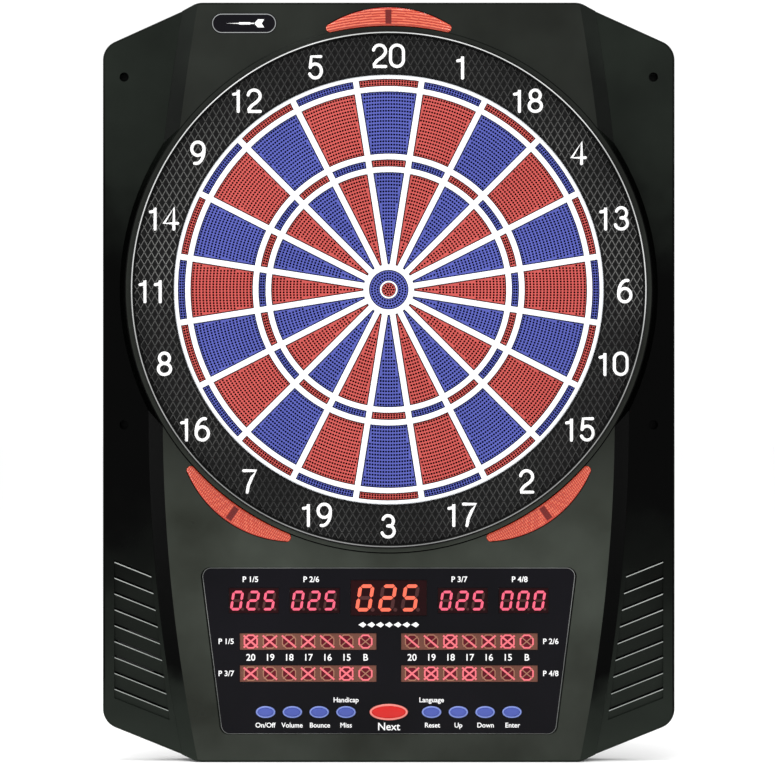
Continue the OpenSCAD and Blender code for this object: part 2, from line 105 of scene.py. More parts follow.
def material(name, tint, dark, rough, smooth, grain=900.0, bump=0.02, **sockets):
    """Moulded surface: two tints and two roughnesses mixed by noise, with a fine grain."""
    mat = bpy.data.materials.new(name)
    mat.use_nodes = True
    nodes, links = mat.node_tree.nodes, mat.node_tree.links
    shader = nodes["Principled BSDF"]
    for socket, value in sockets.items():
        shader.inputs[socket.replace("_", " ")].default_value = value
    place = nodes.new("ShaderNodeTexCoord").outputs["Object"]
    cloud = nodes.new("ShaderNodeTexNoise")
    cloud.inputs["Scale"].default_value = 14
    cloud.inputs["Detail"].default_value = 4
    links.new(place, cloud.inputs["Vector"])
    colours = nodes.new("ShaderNodeValToRGB")
    colours.color_ramp.elements[0].position = 0.3
    colours.color_ramp.elements[0].color = (*dark, 1)
    colours.color_ramp.elements[1].position = 0.7
    colours.color_ramp.elements[1].color = (*tint, 1)
    links.new(cloud.outputs["Fac"], colours.inputs["Fac"])
    links.new(colours.outputs["Color"], shader.inputs["Base Color"])
    gloss = nodes.new("ShaderNodeMapRange")
    gloss.inputs["To Min"].default_value = smooth
    gloss.inputs["To Max"].default_value = rough
    links.new(cloud.outputs["Fac"], gloss.inputs["Value"])
    links.new(gloss.outputs["Result"], shader.inputs["Roughness"])
    fine = nodes.new("ShaderNodeTexNoise")
    fine.inputs["Scale"].default_value = grain
    fine.inputs["Detail"].default_value = 3
    links.new(place, fine.inputs["Vector"])
    relief = nodes.new("ShaderNodeBump")
    relief.inputs["Strength"].default_value = bump
    relief.inputs["Distance"].default_value = 0.001
    links.new(fine.outputs["Fac"], relief.inputs["Height"])
    links.new(relief.outputs["Normal"], shader.inputs["Normal"])
    return mat


def height_tone(mat, stops):
    """Painted light: multiplies a material's colour by a soft ramp up the case, lighter or darker by
    height. Stops are (height, factor).
    """
    nodes, links = mat.node_tree.nodes, mat.node_tree.links
    base = nodes["Principled BSDF"].inputs["Base Color"]
    colour = base.links[0].from_socket
    split = nodes.new("ShaderNodeSeparateXYZ")
    links.new(nodes["Texture Coordinate"].outputs["Object"], split.inputs["Vector"])
    drift = nodes.new("ShaderNodeMath")
    drift.operation = "MULTIPLY_ADD"
    drift.inputs[1].default_value = 0.12
    links.new(nodes["Noise Texture"].outputs["Fac"], drift.inputs[0])
    links.new(split.outputs["Z"], drift.inputs[2])
    scale = nodes.new("ShaderNodeMapRange")
    scale.inputs["From Min"].default_value = FOOT * MM + 0.06
    scale.inputs["From Max"].default_value = CROWN * MM + 0.06
    links.new(drift.outputs["Value"], scale.inputs["Value"])
    ramp = nodes.new("ShaderNodeValToRGB")
    ramp.color_ramp.interpolation = "EASE"
    marks = ramp.color_ramp.elements
    for number, (height, factor) in enumerate(stops):
        place = (height - FOOT) / (CROWN - FOOT)
        mark = marks[number] if number < 2 else marks.new(place)
        mark.position = place
        mark.color = (factor, factor, factor, 1)
    links.new(scale.outputs["Result"], ramp.inputs["Fac"])
    mix = nodes.new("ShaderNodeMix")
    mix.data_type = "RGBA"
    mix.blend_type = "MULTIPLY"
    mix.inputs["Factor"].default_value = 1.0
    links.new(colour, mix.inputs["A"])
    links.new(ramp.outputs["Color"], mix.inputs["B"])
    links.new(mix.outputs["Result"], base)


# Panel area of the case: its paler tint than the wings and its height ramp are painted reflection,
# lighter low down and darker higher up.
CASE = material("case_abs", (0.031, 0.036, 0.029), (0.012, 0.014, 0.01), 0.36, 0.24, 1500, 0.03,
                Specular_IOR_Level=0.12)
height_tone(CASE, [(-376, 1.0), (-190, 1.2), (-100, 0.6), (100, 0.4), (228, 0.45)])
# Wings of the case: the height ramp is painted reflection and shade, paler near the foot and the top and
# nearly black across the middle.
WING = material("wing_abs", (0.021, 0.026, 0.021), (0.013, 0.016, 0.013), 0.3, 0.2, 1500, 0.02,
                Specular_IOR_Level=0.035)
height_tone(WING, [(-376, 1.1), (-335, 0.75), (-260, 0.42), (-205, 0.12), (-170, 0.01), (20, 0.01),
                   (110, 0.55), (228, 0.62)])
# Slopes and walls of the case: painted shade, nearly black, with painted reflection only near the foot
# and the top.
SLOPE_SHADE = material("slope_abs_painted_shade", (0.021, 0.026, 0.021), (0.013, 0.016, 0.013), 0.3, 0.2, 1500, 0.02,
                 Specular_IOR_Level=0.02)
height_tone(SLOPE_SHADE, [(-376, 1.0), (-345, 0.7), (-315, 0.02), (60, 0.01), (150, 0.2), (228, 0.4)])
# Pale grey on the louvre blades' upper lips is a painted highlight.
LOUVRE_HIGHLIGHT = material("louvre_lip_painted_highlight", (0.4, 0.42, 0.4), (0.22, 0.24, 0.22), 0.3, 0.2, 900, 0.02)
COVER = material("cover_abs", (0.014, 0.015, 0.014), (0.009, 0.01, 0.009), 0.6, 0.5, 1100, 0.12,
                 Specular_IOR_Level=0.3)
RING = material("ring_black", (0.005, 0.005, 0.005), (0.003, 0.003, 0.003), 0.34, 0.26, 1400, 0.02,
                Specular_IOR_Level=0.1)
# The ridges' crests are painted lighter than the ring as a highlight, brightest over the ring's upper
# half.
RIDGE_HIGHLIGHT = material("ring_ridge_painted_highlight", (0.1, 0.1, 0.095), (0.022, 0.022, 0.022), 0.4, 0.3, 1400, 0.02,
                 Specular_IOR_Level=0.3)
height_tone(RIDGE_HIGHLIGHT, [(-376, 0.35), (-60, 0.5), (40, 1.5), (110, 1.1), (175, 0.3), (228, 0.25)])
# The rim's crest is painted pale grey as a highlight, brighter towards the top.
RIM_HIGHLIGHT = material("ring_rim_painted_highlight", (0.72, 0.73, 0.72), (0.4, 0.41, 0.4), 0.3, 0.2, 1400, 0.02)
height_tone(RIM_HIGHLIGHT, [(-376, 0.3), (-150, 0.35), (40, 0.8), (228, 1.0)])
WHITE = material("web_white", (0.86, 0.88, 0.9), (0.8, 0.83, 0.86), 0.42, 0.34, 700, 0.03)
NUMBER_WHITE = material("number_white", (0.93, 0.93, 0.92), (0.88, 0.88, 0.88), 0.5, 0.4, 900, 0.02)
BLUE = material("segment_blue", (0.074, 0.09, 0.385), (0.06, 0.074, 0.33), 0.46, 0.38, 800, 0.03,
                Specular_IOR_Level=0.3)
RED = material("segment_red", (0.51, 0.075, 0.066), (0.45, 0.06, 0.052), 0.46, 0.38, 800, 0.03,
               Specular_IOR_Level=0.3)
# Dark copies of the segment colours: painted shade on the segments' bevelled edges, side walls and hole
# bores.
BLUE_SHADE = material("segment_blue_painted_shade", (0.012, 0.012, 0.09), (0.008, 0.008, 0.06), 0.5, 0.4, 800, 0.03,
                     Specular_IOR_Level=0.1)
RED_SHADE = material("segment_red_painted_shade", (0.1, 0.006, 0.006), (0.07, 0.004, 0.004), 0.5, 0.4, 800, 0.03,
                    Specular_IOR_Level=0.1)
LENS = material("lens_coral", (0.46, 0.035, 0.016), (0.36, 0.024, 0.011), 0.22, 0.14, 300, 0.02,
                Specular_IOR_Level=0.35, Coat_Weight=0.2)
LENS_RIB = material("lens_rib", (0.7, 0.155, 0.08), (0.6, 0.11, 0.055), 0.2, 0.14, 300, 0.02,
                    Specular_IOR_Level=0.35, Coat_Weight=0.2)
LENS_DARK = material("lens_dark", (0.16, 0.008, 0.005), (0.11, 0.005, 0.004), 0.24, 0.16, 300, 0.02,
                     Specular_IOR_Level=0.3)
PANEL = material("panel_gloss", (0.0045, 0.004, 0.006), (0.003, 0.003, 0.004), 0.09, 0.05, 40, 0.004,
                 Specular_IOR_Level=0.06)
# Pale grey on the score plate's bevelled edge is a painted highlight.
PANEL_HIGHLIGHT = material("panel_edge_painted_highlight", (0.3, 0.31, 0.3), (0.1, 0.105, 0.1), 0.2, 0.14, 300, 0.01)
FACE = material("display_face", (0.016, 0.001, 0.002), (0.009, 0.0006, 0.0012), 0.14, 0.1, 400, 0.01,
                Specular_IOR_Level=0.08)
STRIP = material("strip_face", (0.16, 0.065, 0.045), (0.12, 0.045, 0.032), 0.3, 0.24, 400, 0.02,
                 Specular_IOR_Level=0.1)
WELL = material("strip_well", (0.11, 0.006, 0.014), (0.08, 0.004, 0.01), 0.3, 0.24, 400, 0.02,
                Specular_IOR_Level=0.1)
UNLIT = material("segment_unlit", (0.07, 0.022, 0.022), (0.05, 0.016, 0.016), 0.5, 0.4, 500, 0.02,
                 Specular_IOR_Level=0.1)
TAN = material("symbol_unlit", (0.36, 0.17, 0.11), (0.3, 0.13, 0.085), 0.5, 0.4, 500, 0.02,
               Specular_IOR_Level=0.1)
LABEL = material("label_ink", (0.86, 0.86, 0.86), (0.8, 0.8, 0.8), 0.6, 0.5, 800, 0.02)
BUTTON_BLUE = material("button_blue", (0.06, 0.088, 0.36), (0.05, 0.076, 0.32), 0.32, 0.24, 700, 0.02,
                       Specular_IOR_Level=0.3)
BUTTON_RIM = material("button_rim", (0.2, 0.26, 0.62), (0.16, 0.22, 0.55), 0.34, 0.26, 700, 0.02)
BUTTON_RED = material("button_red", (0.6, 0.016, 0.014), (0.52, 0.012, 0.01), 0.3, 0.22, 700, 0.02,
                      Specular_IOR_Level=0.25)
RED_RIM = material("red_rim", (0.8, 0.24, 0.2), (0.72, 0.2, 0.17), 0.34, 0.26, 700, 0.02)
SILVER = material("badge_silver", (0.36, 0.37, 0.37), (0.28, 0.29, 0.29), 0.34, 0.26, 1200, 0.05,
                  Metallic=1.0)
STEEL = material("screw_steel", (0.62, 0.62, 0.63), (0.52, 0.52, 0.53), 0.36, 0.26, 1500, 0.08,
                 Metallic=1.0)
CIRCUIT = material("circuit_green", (0.02, 0.16, 0.06), (0.015, 0.12, 0.05), 0.34, 0.26, 500, 0.05)
RUBBER = material("rubber_grey", (0.05, 0.05, 0.05), (0.035, 0.035, 0.035), 0.85, 0.7, 900, 0.2)
FILM = material("film_cream", (0.62, 0.58, 0.42), (0.55, 0.51, 0.37), 0.4, 0.3, 700, 0.03)
FIBRE = material("hardboard", (0.26, 0.17, 0.1), (0.19, 0.12, 0.07), 0.75, 0.6, 260, 0.2)


def glow(name, colour, strength):
    """A lit display segment."""
    tint, dark = (tuple(part * c for c in colour) for part in (0.3, 0.24))
    mat = material(name, tint, dark, 0.5, 0.4, 500, 0.01, Specular_IOR_Level=0.1)
    shader = mat.node_tree.nodes["Principled BSDF"]
    shader.inputs["Emission Color"].default_value = (*colour, 1)
    shader.inputs["Emission Strength"].default_value = strength
    return mat


LIT = glow("segment_lit", (1.0, 0.14, 0.23), 0.8)
LIT_MAIN = glow("segment_lit_main", (1.0, 0.17, 0.1), 0.85)
LIT_SYMBOL = glow("symbol_lit", (1.0, 0.2, 0.24), 0.7)

# ---- mesh building ----


class Shape:
    """Collects the points and faces of one piece, in millimetres."""

    def __init__(self):
        self.points = []
        self.faces = []
        self.tones = []

    def loop(self, outline, d):
        """Adds a flat loop of (x, z) points at depth d and returns their indices."""
        start = len(self.points)
        self.points += [(x, z, d) for x, z in outline]
        return list(range(start, len(self.points)))

    def face(self, corners, tone=0):
        self.faces.append(tuple(corners))
        self.tones.append(tone)

    def wall(self, a, b, tone=0, closed=True):
        """Quads between two loops of the same length."""
        count = len(a) if closed else len(a) - 1
        for i in range(count):
            j = (i + 1) % len(a)
            self.face((a[i], b[i], b[j], a[j]), tone)

    def stack(self, levels, tone=0, caps=True):
        """Walls through (outline, depth) levels, front first, and flat caps at both ends."""
        loops = [self.loop(outline, d) for outline, d in levels]
        for a, b in zip(loops, loops[1:]):
            self.wall(a, b, tone)
        if caps:
            self.face(loops[0], tone)
            self.face(loops[-1][::-1], tone)
        return loops

    def piece(self, name, body, slot, materials, replaces=(), smooth=35, shift=(0, 0)):
        """Makes the Blender object, closes its normals and rides it on a body."""
        mesh = bpy.data.meshes.new(name)
        place = [((x + shift[0]) * MM, -d * MM, (z + shift[1]) * MM) for x, z, d in self.points]
        mesh.from_pydata(place, [], self.faces)
        mesh.polygons.foreach_set("material_index", self.tones)
        for mat in materials:
            mesh.materials.append(mat)
        tidy = bmesh.new()
        tidy.from_mesh(mesh)
        bmesh.ops.recalc_face_normals(tidy, faces=tidy.faces)
        tidy.to_mesh(mesh)
        tidy.free()
        obj = bpy.data.objects.new(name, mesh)
        bpy.context.scene.collection.objects.link(obj)
        soften(obj, smooth)
        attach(obj, body)
        if replaces:
            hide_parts(*replaces)
        return obj


def soften(obj, angle):
    """Smooth shading that keeps edges sharper than the angle, in degrees."""
    mesh = obj.data
    mesh.polygons.foreach_set("use_smooth", [True] * len(mesh.polygons))
    mesh.set_sharp_from_angle(angle=math.radians(angle))


def circle(r, count, x=0.0, z=0.0, turn=0.0):
    angles = [turn + i * 2 * math.pi / count for i in range(count)]
    return [(x + r * math.cos(t), z + r * math.sin(t)) for t in angles]


def oval(w, h, count=64):
    step = 2 * math.pi / count
    return [(w / 2 * math.cos(i * step), h / 2 * math.sin(i * step)) for i in range(count)]


def turned(outline, angle):
    c, s = math.cos(angle), math.sin(angle)
    return [(x * c - z * s, x * s + z * c) for x, z in outline]


def moved(outline, x, z):
    return [(a + x, b + z) for a, b in outline]


def inside(point, outline):
    """Whether a point lies in a closed outline."""
    x, z = point
    hit = False
    for (x0, z0), (x1, z1) in zip(outline, outline[1:] + outline[:1]):
        if (z0 > z) != (z1 > z) and x < (x1 - x0) * (z - z0) / (z1 - z0) + x0:
            hit = not hit
    return hit


def fill(outer, holes):
    """Triangles between an outline and the holes in it, as indices into outer + holes."""
    loops = [outer] + holes
    points, edges, owner = [], [], []
    for number, outline in enumerate(loops):
        start = len(points)
        count = len(outline)
        points += [Vector(p) for p in outline]
        owner += [number] * count
        edges += [(start + i, start + (i + 1) % count) for i in range(count)]
    result = delaunay_2d_cdt(points, edges, [], 1, 1e-7)
    source = [origins[0] for origins in result[3]]
    triangles = []
    for face in result[2]:
        corners = [source[v] for v in face]
        owners = {owner[c] for c in corners}
        if len(owners) == 1 and 0 not in owners:
            centre = sum((points[c] for c in corners), Vector((0, 0))) / 3
            if inside(centre, loops[owners.pop()]):
                continue
        triangles.append(corners)
    return triangles


def reach(h, r):
    """Half-angle of a sector at radius r when its sides stand h off the spokes' centres."""
    return HALF_SECTOR - math.asin(min(1.0, h / r))


def cell(outer, inner, h, outer_steps=14, inner_steps=8):
    """Outline of one sector cell along +x, counter-clockwise."""
    inner = max(inner, h / math.sin(HALF_SECTOR) + 0.4)
    a, b = reach(h, outer), reach(h, inner)
    arc = [(outer, -a + 2 * a * i / outer_steps) for i in range(outer_steps + 1)]
    arc += [(inner, b - 2 * b * i / inner_steps) for i in range(inner_steps + 1)]
    return [(r * math.cos(t), r * math.sin(t)) for r, t in arc]


# ---- perforated segments ----


def hole_rows(outer, inner, h):
    """Centres of a segment's dart holes: arcs of holes, in columns along the sector."""
    clear = HOLE_R + HOLE_MARGIN
    span = outer - inner - 2 * clear
    gaps = round(span / ROW_PITCH)
    centres = []
    for row in range(gaps + 1):
        r = inner + clear + row * span / gaps
        half = r * reach(h, r) - clear
        if half < 0:
            continue
        count = int(half / HOLE_PITCH)
        for k in range(-count, count + 1):
            t = k * HOLE_PITCH / r
            centres.append((r * math.cos(t), r * math.sin(t)))
    return centres


def perforated(shape, levels, holes, tone):
    """A block with a stepped edge and through holes, its edge walls and bores painted as shade (tone +
    2). Levels are (outline, depth), front first.
    """
    mouth = [circle(HOLE_R + HOLE_FLARE, 8, x, z) for x, z in holes]
    bore = [circle(HOLE_R, 8, x, z) for x, z in holes]
    triangles = fill(levels[0][0], mouth)
    edges = [shape.loop(outline, d) for outline, d in levels]
    for a, b in zip(edges, edges[1:]):
        shape.wall(a, b, tone + 2)
    front, back = levels[0][1], levels[-1][1]
    face_in, face_out = list(edges[0]), list(edges[-1])
    for wide, narrow in zip(mouth, bore):
        lip = shape.loop(wide, front)
        throat = shape.loop(narrow, front - 0.16)
        end = shape.loop(narrow, back)
        shape.wall(throat, lip, tone)
        shape.wall(end, throat, tone + 2)
        face_in += lip
        face_out += end
    for corners in triangles:
        shape.face([face_in[c] for c in corners], tone)
        shape.face([face_out[c] for c in reversed(corners)], tone)


def sector_shape(first_tone):
    """The four segments of a sector along +x. Tones alternate between ring and single."""
    shape = Shape()
    for number, (outer, inner) in enumerate(CELLS):
        h = SPOKE / 2 + SEG_GAP
        a, b = outer - SEG_GAP, inner + SEG_GAP
        full = cell(a, b, h)
        lip = cell(a + SEG_LIP, b - SEG_LIP, h - SEG_LIP)
        face = (a - SEG_EDGE, b + SEG_EDGE, h + SEG_EDGE)
        levels = [(cell(*face), SEG_FRONT), (full, SEG_FRONT - 0.7),
                  (full, SEG_BACK + SEG_LIP_H), (lip, SEG_BACK + SEG_LIP_H), (lip, SEG_BACK)]
        tone = (first_tone + number) % 2
        perforated(shape, levels, hole_rows(*face), tone)
    return shape


def sectors():
    """All 20 sectors, each turned from one of two coloured patterns."""
    patterns = [sector_shape(1), sector_shape(0)]
    for k, number in enumerate(SECTORS):
        pattern = patterns[k % 2]
        flat = turned([(x, z) for x, z, d in pattern.points], math.radians(90 - 18 * k))
        copy = Shape()
        copy.points = [(x, z, d) for (x, z), (_, _, d) in zip(flat, pattern.points)]
        copy.faces, copy.tones = pattern.faces, pattern.tones
        node = f"sector_{number:02d}"
        slot = "segment_blue" if k % 2 == 0 else "segment_red"
        # the last two are the dark copies painted as shade on edges and bores
        looks = [BLUE, RED, BLUE_SHADE, RED_SHADE]
        copy.piece(f"segments_{number:02d}", node, slot, looks, (node,))


def bulls():
    """The outer and inner bull, perforated in rings."""
    outer_r, inner_r = BULL_RING[1] - SEG_GAP, SMALL_RING[0] + BULL_R_GAP
    shape = Shape()
    holes = []
    for row, r in enumerate((8.9, 11.1, 13.4)):
        count = int(2 * math.pi * r / HOLE_PITCH)
        holes += circle(r, count, turn=row * 0.1)
    mouth = [circle(HOLE_R, 10, x, z) for x, z in holes]
    bore = [circle(HOLE_R - 0.08, 10, x, z) for x, z in holes]
    rim_in, rim_out = circle(inner_r + 0.3, 64), circle(outer_r - 0.5, 96)
    triangles = fill(rim_out, [rim_in] + mouth)
    side, lip = circle(outer_r, 96), circle(outer_r + SEG_LIP, 96)
    levels_out = [(rim_out, SEG_FRONT), (side, SEG_FRONT - 0.3), (side, SEG_BACK + SEG_LIP_H),
                  (lip, SEG_BACK + SEG_LIP_H), (lip, SEG_BACK)]
    bore_side = circle(inner_r, 64)
    levels_in = [(rim_in, SEG_FRONT), (bore_side, SEG_FRONT - 0.3), (bore_side, SEG_BACK)]
    edges = [shape.loop(outline, d) for outline, d in levels_out]
    inner = [shape.loop(outline, d) for outline, d in levels_in]
    # the outer bull's walls and bores take tone 1, its painted-shade copy
    for a, b in list(zip(edges, edges[1:])) + list(zip(inner[1:], inner)):
        shape.wall(a, b, 1)
    face_in, face_out = edges[0] + inner[0], edges[-1] + inner[-1]
    for wide, narrow in zip(mouth, bore):
        lip, end = shape.loop(wide, SEG_FRONT), shape.loop(narrow, SEG_BACK)
        shape.wall(end, lip, 1)
        face_in += lip
        face_out += end
    for corners in triangles:
        shape.face([face_in[c] for c in corners])
        shape.face([face_out[c] for c in reversed(corners)])
    shape.piece("outer_bull_segment", "bull_outer", "segment_blue", [BLUE, BLUE_SHADE],
                ("bull_outer",))

    shape = Shape()
    r = SMALL_RING[1] - BULL_R_GAP
    holes = [(0.0, 0.0)] + circle(2.0, 6) + circle(3.9, 11)
    face, side, lip = circle(r - 0.3, 64), circle(r, 64), circle(r + 0.9, 64)
    levels = [(face, SEG_FRONT), (side, SEG_FRONT - 0.3), (side, SEG_BACK + SEG_LIP_H),
              (lip, SEG_BACK + SEG_LIP_H), (lip, SEG_BACK)]
    perforated(shape, levels, holes, 0)
    shape.piece("inner_bull_segment", "bull_inner", "segment_red", [RED, RED, RED_SHADE],
                ("bull_inner",))


# ---- web ----


def web():
    """White ribs: one plate with an opening for every segment, its edges rounded."""
    shape = Shape()
    soft = [(0.8, 0.0), (0.35, 0.2), (0.1, 0.45), (0.0, 0.8)]

    def opening(outer, inner, turn):
        return lambda grow: turned(cell(outer + grow, inner - grow, SPOKE / 2 - grow), turn)

    openings = [opening(*ends, math.radians(18 * k)) for k in range(len(SECTORS)) for ends in CELLS]
    openings.append(lambda grow: circle(BULL_RING[1] + grow, 96))
    outer_levels = [(circle(RIM[0] - grow, ROUND), WEB_FRONT - drop) for grow, drop in soft]
    outer_levels += [(circle(r, ROUND), d) for r, d in (
        (RIM[0], 23.9), (180, 23.9), (180, 15.1), (170.4, 15.1), (170.4, WEB_BACK))]
    triangles = fill(outer_levels[0][0], [outline(soft[0][0]) for outline in openings])
    edges = [shape.loop(outline, d) for outline, d in outer_levels]
    for a, b in zip(edges, edges[1:]):
        shape.wall(a, b)
    face_in, face_out = list(edges[0]), list(edges[-1])
    depths = [WEB_FRONT - drop for grow, drop in soft] + [WEB_BACK]
    grows = [grow for grow, drop in soft] + [0.0]
    for outline in openings:
        rings = [shape.loop(outline(grow), d) for grow, d in zip(grows, depths)]
        for a, b in zip(rings, rings[1:]):
            shape.wall(b, a)
        face_in += rings[0]
        face_out += rings[-1]
    for corners in triangles:
        shape.face([face_in[c] for c in corners])
        shape.face([face_out[c] for c in reversed(corners)])
    # small ring around the inner bull, with its three bridges
    top = WEB_FRONT - 0.2
    outer_r, inner_r = SMALL_RING
    profile = [(outer_r, WEB_BACK), (outer_r, top - 0.4), (outer_r - 0.3, top),
               (inner_r + 0.3, top), (inner_r, top - 0.4), (inner_r, WEB_BACK)]
    lathe(shape, profile, 96)
    for a in (30, 150, 270):
        bar = turned([(6.4, -0.9), (16.7, -0.9), (16.7, 0.9), (6.4, 0.9)], math.radians(a))
        shape.stack([(bar, WEB_BACK + 1.8), (bar, WEB_BACK + 0.3)])
    shape.piece("web_ribs", "case", "web_plastic", [WHITE], ("segment_web",))


def lathe(shape, profile, count):
    """Turns a closed (radius, depth) profile about the bull's axis."""
    rings = [shape.loop(circle(r, count), d) for r, d in profile]
    for a, b in zip(rings, rings[1:] + rings[:1]):
        shape.wall(b, a)
    return rings


# ---- number ring ----


def stroke(shape, path, width, foot, top):
    """A raised line with round ends and soft shoulders along a path of (x, z) points."""
    across = (-1, -0.93, -0.78, -0.5, 0, 0.5, 0.78, 0.93, 1)
    rise = [math.sqrt(1 - abs(t) ** 3) for t in across]
    ends = [math.radians(a) for a in (78, 55, 28)]
    path = [Vector(p) for p in path]
    tangents = []
    for i in range(len(path)):
        before, after = path[max(i - 1, 0)], path[min(i + 1, len(path) - 1)]
        tangents.append((after - before).normalized())
    first, last = tangents[0], tangents[-1]
    stations = [(path[0] - first * width / 2 * math.sin(a), first, math.cos(a)) for a in ends]
    stations += [(p, t, 1.0) for p, t in zip(path, tangents)]
    stations += [(path[-1] + last * width / 2 * math.sin(a), last, math.cos(a))
                 for a in reversed(ends)]
    rows = []
    for centre, tangent, scale in stations:
        side = Vector((-tangent.y, tangent.x)) * width / 2 * scale
        start = len(shape.points)
        for t, h in zip(across, rise):
            p = centre + side * t
            shape.points.append((p.x, p.y, foot + (top - foot) * h * min(1.0, scale * 1.6)))
        rows.append(list(range(start, len(shape.points))))
    for a, b in zip(rows, rows[1:]):
        shape.wall(a, b, closed=False)
        shape.face((a[0], a[-1], b[-1], b[0]))
    shape.face(rows[0])
    shape.face(rows[-1][::-1])


def arc(x, z, rx, rz, start, end, steps=18):
    """Points of an elliptical arc, in degrees."""
    turns = [math.radians(start + (end - start) * i / steps) for i in range(steps + 1)]
    return [(x + rx * math.cos(t), z + rz * math.sin(t)) for t in turns]


# Centre lines of the numerals in a box one unit high, centred on (0, 0)
GLYPHS = {
    "0": [arc(0, 0.165, 0.262, 0.27, 0, 180) + arc(0, -0.165, 0.262, 0.27, 180, 360)
          + [(0.262, 0.165)]],
    "1": [[(-0.13, 0.262), (-0.05, 0.275)] + arc(-0.06, 0.385, 0.12, 0.11, 290, 360, 6)
          + [(0.065, 0.435), (0.065, -0.435)]],
    "2": [arc(0, 0.19, 0.245, 0.245, 170, -28) + [(0.12, -0.04), (-0.1, -0.2)]
          + [(-0.225, -0.36), (-0.245, -0.435), (0.25, -0.435)]],
    "3": [arc(-0.005, 0.215, 0.215, 0.22, 160, -75) + [(-0.02, 0.018)],
          [(-0.02, 0.018)] + arc(-0.005, -0.2, 0.25, 0.235, 80, -165)],
    "4": [[(0.12, -0.435), (0.12, 0.43), (-0.28, -0.2), (0.27, -0.2)]],
    "5": [[(0.21, 0.435), (-0.17, 0.435), (-0.215, 0.0)],
          [(-0.215, 0.0)] + arc(-0.01, -0.15, 0.25, 0.285, 130, -155)],
    "6": [arc(0.0, -0.165, 0.25, 0.27, 0, 360, 30),
          arc(0.08, -0.1, 0.33, 0.535, 178, 82)],
    "7": [[(-0.25, 0.435), (0.25, 0.435), (0.08, 0.16), (-0.06, -0.16), (-0.11, -0.435)]],
    "8": [arc(0, 0.225, 0.205, 0.21, -90, 270, 30), arc(0, -0.21, 0.25, 0.225, 90, 450, 30)],
    "9": [arc(0.0, 0.165, 0.25, 0.27, 0, 360, 30),
          arc(-0.08, 0.1, 0.33, 0.535, -2, -98)],
}


def ridges(shape):
    """Crossed ridges that cut the ring's face into tall diamonds, their crests painted light as a
    highlight.
    """
    lean = math.radians(30)
    spacing, height = 4.95, 0.62
    base, crest = 2.6, 0.55
    low, high = RING_FACE
    for side in (-1, 1):
        along = Vector((side * math.sin(lean), math.cos(lean)))
        normal = Vector((along.y, -along.x))
        for k in range(-42, 43):
            middle = k * spacing
            offsets = [middle + half for half in (-base / 2, -crest / 2, crest / 2, base / 2)]
            if max(abs(o) for o in offsets) > high - 0.5:
                continue
            outer = [math.sqrt(high ** 2 - o * o) for o in offsets]
            inner = [math.sqrt(max(0.0, low ** 2 - o * o)) for o in offsets]
            spans = [(inner, outer), ([-t for t in outer], [-t for t in inner])]
            if min(abs(o) for o in offsets) >= low:
                spans = [([-t for t in outer], outer)]
            for start, end in spans:
                rows = []
                for reach_along in (start, end):
                    first = len(shape.points)
                    for o, t, d in zip(offsets, reach_along, (0.0, height, height, 0.0)):
                        p = normal * o + along * t
                        shape.points.append((p.x, p.y, RING_FLOOR - 0.1 + d))
                    rows.append(list(range(first, len(shape.points))))
                for i in range(4):
                    j = (i + 1) % 4
                    # the crest face (i == 1) takes the painted highlight
                    shape.face((rows[0][i], rows[1][i], rows[1][j], rows[0][j]), int(i == 1))
                shape.face(rows[0][::-1])
                shape.face(rows[1])


def number_ring():
    """The ring with its ridged face, a painted highlight on its rim, and the raised numbers on it."""
    shape = Shape()
    outer = -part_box("number_ring")[0].x / MM
    crown = front_of("number_ring")
    profile = [(171.3, 27.0), (171.3, 30.2), (171.7, 30.7), (172.3, 30.7), (172.7, RING_FLOOR),
               (201.6, RING_FLOOR), (202.4, 31.4), (202.8, 33.0), (203.2, 33.7), (203.7, crown),
               (204.5, crown), (205.0, crown - 0.3), (outer, crown - 0.9), (outer, 27.0)]
    rings = lathe(shape, profile, ROUND)
    # the rim's crest lies between the profile's two points at the crown; it takes the painted highlight
    first, last = rings[9][0], rings[10][-1]
    shape.tones = [2 if min(face) >= first and max(face) <= last else 0 for face in shape.faces]
    ridges(shape)
    shape.piece("ring_face", "case", "ring_plastic", [RING, RIDGE_HIGHLIGHT, RIM_HIGHLIGHT], ("number_ring",),
                smooth=28)

    digits = Shape()
    for k, number in enumerate(SECTORS):
        t = math.radians(90 - 18 * k)
        text = str(number)
        pitch = 13.9 if number != 11 else 12.2
        left = NUMBER_R * math.cos(t) - (len(text) - 1) / 2 * pitch + NUDGE.get(number, -0.4)
        z = NUMBER_R * math.sin(t) - 1.2
        for i, glyph in enumerate(text):
            x = left + i * pitch
            for path in GLYPHS[glyph]:
                line = [(x + a * NUMBER_H, z + b * NUMBER_H) for a, b in path]
                stroke(digits, line, 2.6, RING_FLOOR - 0.05, 31.5)
    digits.piece("ring_numbers", "case", "web_plastic", [NUMBER_WHITE], smooth=60)


# ---- lenses ----

LENS_IN, LENS_APEX, LENS_ARC, LENS_END = 209.7, 224.4, 90.7, 3.3
RIB_ACROSS, RIB_ALONG, SEAM_PITCH = 1.7, 2.1, 2.4


def lens_edge(t):
    """Inner and outer radius of a lens at angle t from its centre."""
    c = LENS_APEX - LENS_ARC

    def outer(a):
        return c * math.cos(a) + math.sqrt(max(0.0, LENS_ARC ** 2 - (c * math.sin(a)) ** 2))

    low, high = 0.0, math.radians(17)
    for _ in range(40):
        mid = (low + high) / 2
        if outer(mid) - LENS_IN > 2 * LENS_END:
            low = mid
        else:
            high = mid
    turn = low
    centre = LENS_IN + LENS_END
    end = turn + LENS_END / centre
    a = abs(t) * end
    if a <= turn:
        return a, LENS_IN, outer(a)
    s = min(LENS_END, (a - turn) * centre)
    half = math.sqrt(max(0.0, LENS_END ** 2 - s * s))
    return a, centre - half, centre + half


def rib_wave(a, r, across):
    """Height of the ribs, from -1 to 1, at an angle and radius on a lens."""
    return math.cos(2 * math.pi * (a * r / RIB_ACROSS if across else (r - LENS_IN) / RIB_ALONG))


